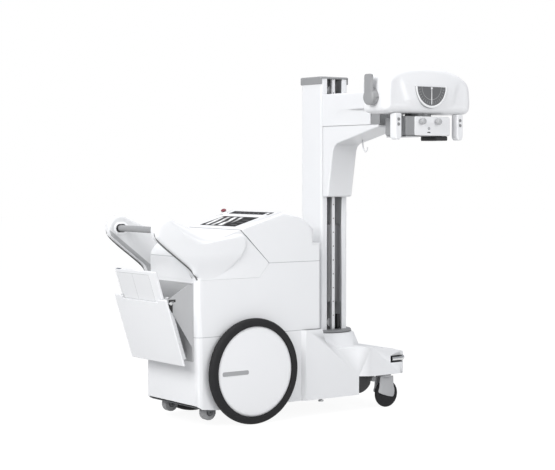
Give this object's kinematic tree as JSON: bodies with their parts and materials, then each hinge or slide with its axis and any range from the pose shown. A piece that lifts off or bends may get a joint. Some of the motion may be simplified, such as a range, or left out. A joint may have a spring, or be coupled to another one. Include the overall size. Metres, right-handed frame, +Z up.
{
  "type": "mobile x-ray unit",
  "caption": "Mobile digital X-ray unit: wheeled cabinet with push handle and console, turning column, counterweighted lifting arm, tilting tube head with collimator, detector bin.",
  "frame": {"origin": "on the floor, under the middle of the bounding box at rest, with the arm swung to the right", "axes": "+X forward from the push handle to the column, +Y to the machine's left, +Z up"},
  "size_m": [1.59, 1.1706, 1.7994],
  "materials": {
    "white_cover": "satin moulded cover",
    "grey_plastic": "satin",
    "dark_plastic": "matt",
    "tyre_rubber": "matt",
    "grey_rubber": "matt",
    "black_gloss": "glossy",
    "frame_steel": "powder coat",
    "bright_steel": "bright",
    "aluminium": "cast",
    "column_white": "powder coated extrusion",
    "weight_iron": "raw",
    "red_plastic": "satin",
    "equipment": "matt"
  },
  "bodies": {
    "chassis": {"base_frame": "frame_steel", "base_cover": "white_cover", "cabinet_cover": "white_cover", "handle_cover": "white_cover", "console_cover": "white_cover", "screen_unit": "black_gloss", "key_strip": "black_gloss", "battery_pack": "equipment", "hv_generator": "equipment", "control_unit": "equipment", "drive_axle": "aluminium", "bin_bracket": "white_cover"},
    "wheel_left": {"tyre_left": "tyre_rubber", "wheel_disc_left": "white_cover"},
    "wheel_right": {"tyre_right": "tyre_rubber", "wheel_disc_right": "white_cover"},
    "fork_left": {"caster_fork_left": "aluminium"},
    "fork_right": {"caster_fork_right": "aluminium"},
    "caster_left": {"caster_wheel_left": "tyre_rubber"},
    "caster_right": {"caster_wheel_right": "tyre_rubber"},
    "roller_left": {"rear_roller_left": "grey_rubber"},
    "roller_right": {"rear_roller_right": "grey_rubber"},
    "bumper": {"bumper_bar": "bright_steel"},
    "push_handle": {"handle_bar": "grey_plastic"},
    "stop": {"stop_button": "red_plastic"},
    "bin": {"detector_bin": "white_cover"},
    "detector": {"detector_panel": "white_cover"},
    "column": {"turntable": "grey_plastic", "column_profile": "column_white", "column_cap": "grey_plastic", "guide_rail": "bright_steel", "lift_belt": "dark_plastic"},
    "sheave_low": {"pulley_low": "bright_steel"},
    "sheave_high": {"pulley_high": "bright_steel"},
    "weight": {"counterweight": "weight_iron"},
    "arm": {"carriage_block": "aluminium", "arm_bracket": "white_cover", "arm_cover": "white_cover", "roll_housing": "aluminium"},
    "neck": {"neck": "bright_steel"},
    "head": {"head_shell": "white_cover", "tube_insert": "aluminium", "dial_plate": "dark_plastic", "grip_left": "white_cover", "grip_right": "white_cover"},
    "needle": {"dial_needle": "grey_plastic"},
    "lever": {"lock_lever": "grey_plastic"},
    "button_left_1": {"grip_button_left_1": "grey_plastic"},
    "button_left_2": {"grip_button_left_2": "grey_plastic"},
    "button_right_1": {"grip_button_right_1": "grey_plastic"},
    "button_right_2": {"grip_button_right_2": "grey_plastic"},
    "collimator": {"collimator_housing": "white_cover", "laser_module": "dark_plastic"},
    "knob_left": {"field_knob_left": "grey_plastic"},
    "knob_right": {"field_knob_right": "grey_plastic"},
    "lamp": {"lamp_button": "grey_plastic"},
    "blade_x_a": {"shutter_x_a": "weight_iron"},
    "blade_x_b": {"shutter_x_b": "weight_iron"},
    "blade_y_a": {"shutter_y_a": "weight_iron"},
    "blade_y_b": {"shutter_y_b": "weight_iron"}
  },
  "joints": [
    {"name": "wheel_left_spin", "type": "hinge", "parent": "chassis", "child": "wheel_left", "pos_m": [-0.233, 0.5653, 0.27], "axis": [0, 1, 0], "continuous": true},
    {"name": "fork_left_swivel", "type": "hinge", "parent": "chassis", "child": "fork_left", "pos_m": [0.652, 0.5353, 0.181], "axis": [0, 0, 1], "continuous": true},
    {"name": "caster_left_spin", "type": "hinge", "parent": "fork_left", "child": "caster_left", "pos_m": [0.666, 0.5353, 0.075], "axis": [0, 1, 0], "continuous": true},
    {"name": "roller_left_spin", "type": "hinge", "parent": "chassis", "child": "roller_left", "pos_m": [-0.448, 0.4623, 0.07], "axis": [0, 1, 0], "continuous": true},
    {"name": "wheel_right_spin", "type": "hinge", "parent": "chassis", "child": "wheel_right", "pos_m": [-0.233, 0.0053, 0.27], "axis": [0, 1, 0], "continuous": true},
    {"name": "fork_right_swivel", "type": "hinge", "parent": "chassis", "child": "fork_right", "pos_m": [0.652, 0.0353, 0.181], "axis": [0, 0, 1], "continuous": true},
    {"name": "caster_right_spin", "type": "hinge", "parent": "fork_right", "child": "caster_right", "pos_m": [0.666, 0.0353, 0.075], "axis": [0, 1, 0], "continuous": true},
    {"name": "roller_right_spin", "type": "hinge", "parent": "chassis", "child": "roller_right", "pos_m": [-0.448, 0.1083, 0.07], "axis": [0, 1, 0], "continuous": true},
    {"name": "bumper_push", "type": "slide", "parent": "chassis", "child": "bumper", "axis": [1, 0, 0], "range_m": [-0.008, 0], "stiffness_N_per_m": 4000},
    {"name": "handle_push", "type": "slide", "parent": "chassis", "child": "push_handle", "axis": [1, 0, 0], "range_m": [-0.006, 0.006], "stiffness_N_per_m": 6000},
    {"name": "stop_press", "type": "slide", "parent": "chassis", "child": "stop", "axis": [-0.2747, 0, 0.9615], "range_m": [-0.004, 0], "stiffness_N_per_m": 800},
    {"name": "bin_tilt", "type": "hinge", "parent": "chassis", "child": "bin", "pos_m": [-0.585, 0.2853, 0.365], "axis": [0, 1, 0], "range_deg": [0, 4]},
    {"name": "detector_lift_out", "type": "slide", "parent": "bin", "child": "detector", "axis": [-0.3007, 0, 0.9537], "range_m": [0, 0.35]},
    {"name": "column_turn", "type": "hinge", "parent": "chassis", "child": "column", "pos_m": [0.435, 0.2853, 0.41], "axis": [0, 0, 1], "range_deg": [-90, 200]},
    {"name": "arm_lift", "type": "slide", "parent": "column", "child": "arm", "axis": [0, 0, -1], "range_m": [-0.04, 0.62]},
    {"name": "weight_slide", "type": "slide", "parent": "column", "child": "weight", "axis": [0, 0, 1], "range_m": [-0.04, 0.62]},
    {"name": "sheave_low_spin", "type": "hinge", "parent": "column", "child": "sheave_low", "pos_m": [0.435, 0.2353, 0.462], "axis": [0, 1, 0], "range_deg": [-100, 1485]},
    {"name": "sheave_high_spin", "type": "hinge", "parent": "column", "child": "sheave_high", "pos_m": [0.435, 0.2353, 1.715], "axis": [0, 1, 0], "range_deg": [-100, 1485]},
    {"name": "head_roll", "type": "hinge", "parent": "arm", "child": "neck", "pos_m": [0.435, -0.2753, 1.64], "axis": [0, 1, 0], "range_deg": [-90, 90]},
    {"name": "head_tilt", "type": "hinge", "parent": "neck", "child": "head", "pos_m": [0.435, -0.3297, 1.75], "axis": [1, 0, 0], "range_deg": [-90, 10]},
    {"name": "needle_swing", "type": "hinge", "parent": "head", "child": "needle", "pos_m": [0.435, -0.5782, 1.691], "axis": [0, 1, 0], "range_deg": [-90, 90]},
    {"name": "lever_turn", "type": "hinge", "parent": "head", "child": "lever", "pos_m": [0.145, -0.4747, 1.643], "axis": [1, 0, 0], "range_deg": [0, 40]},
    {"name": "button_left_1_press", "type": "slide", "parent": "head", "child": "button_left_1", "axis": [0, 1, 0], "range_m": [0, 0.002], "stiffness_N_per_m": 400},
    {"name": "button_left_2_press", "type": "slide", "parent": "head", "child": "button_left_2", "axis": [0, 1, 0], "range_m": [0, 0.002], "stiffness_N_per_m": 400},
    {"name": "button_right_1_press", "type": "slide", "parent": "head", "child": "button_right_1", "axis": [0, 1, 0], "range_m": [0, 0.002], "stiffness_N_per_m": 400},
    {"name": "button_right_2_press", "type": "slide", "parent": "head", "child": "button_right_2", "axis": [0, 1, 0], "range_m": [0, 0.002], "stiffness_N_per_m": 400},
    {"name": "collimator_turn", "type": "hinge", "parent": "head", "child": "collimator", "pos_m": [0.435, -0.4747, 1.5644], "axis": [0, 0, 1], "range_deg": [-90, 90]},
    {"name": "knob_left_turn", "type": "hinge", "parent": "collimator", "child": "knob_left", "pos_m": [0.383, -0.5707, 1.527], "axis": [0, 1, 0], "range_deg": [0, 270]},
    {"name": "knob_right_turn", "type": "hinge", "parent": "collimator", "child": "knob_right", "pos_m": [0.487, -0.5707, 1.527], "axis": [0, 1, 0], "range_deg": [0, 270]},
    {"name": "lamp_press", "type": "slide", "parent": "collimator", "child": "lamp", "axis": [0, 1, 0], "range_m": [0, 0.002], "stiffness_N_per_m": 400},
    {"name": "blade_x_a_slide", "type": "slide", "parent": "collimator", "child": "blade_x_a", "axis": [1, 0, 0], "range_m": [0, 0.03]},
    {"name": "blade_x_b_slide", "type": "slide", "parent": "collimator", "child": "blade_x_b", "axis": [1, 0, 0], "range_m": [-0.03, 0]},
    {"name": "blade_y_a_slide", "type": "slide", "parent": "collimator", "child": "blade_y_a", "axis": [0, 1, 0], "range_m": [0, 0.03]},
    {"name": "blade_y_b_slide", "type": "slide", "parent": "collimator", "child": "blade_y_b", "axis": [0, 1, 0], "range_m": [-0.03, 0]}
  ],
  "couplings": [
    {"joint": "weight_slide", "follows": "arm_lift", "ratio": 1},
    {"joint": "sheave_low_spin", "follows": "arm_lift", "rad_per_m": 41.667},
    {"joint": "sheave_high_spin", "follows": "arm_lift", "rad_per_m": 41.667},
    {"joint": "needle_swing", "follows": "head_roll", "ratio": -1},
    {"joint": "knob_left_turn", "follows": "blade_x_a_slide", "rad_per_m": 157},
    {"joint": "blade_x_b_slide", "follows": "blade_x_a_slide", "ratio": -1},
    {"joint": "knob_right_turn", "follows": "blade_y_a_slide", "rad_per_m": 157},
    {"joint": "blade_y_b_slide", "follows": "blade_y_a_slide", "ratio": -1}
  ]
}
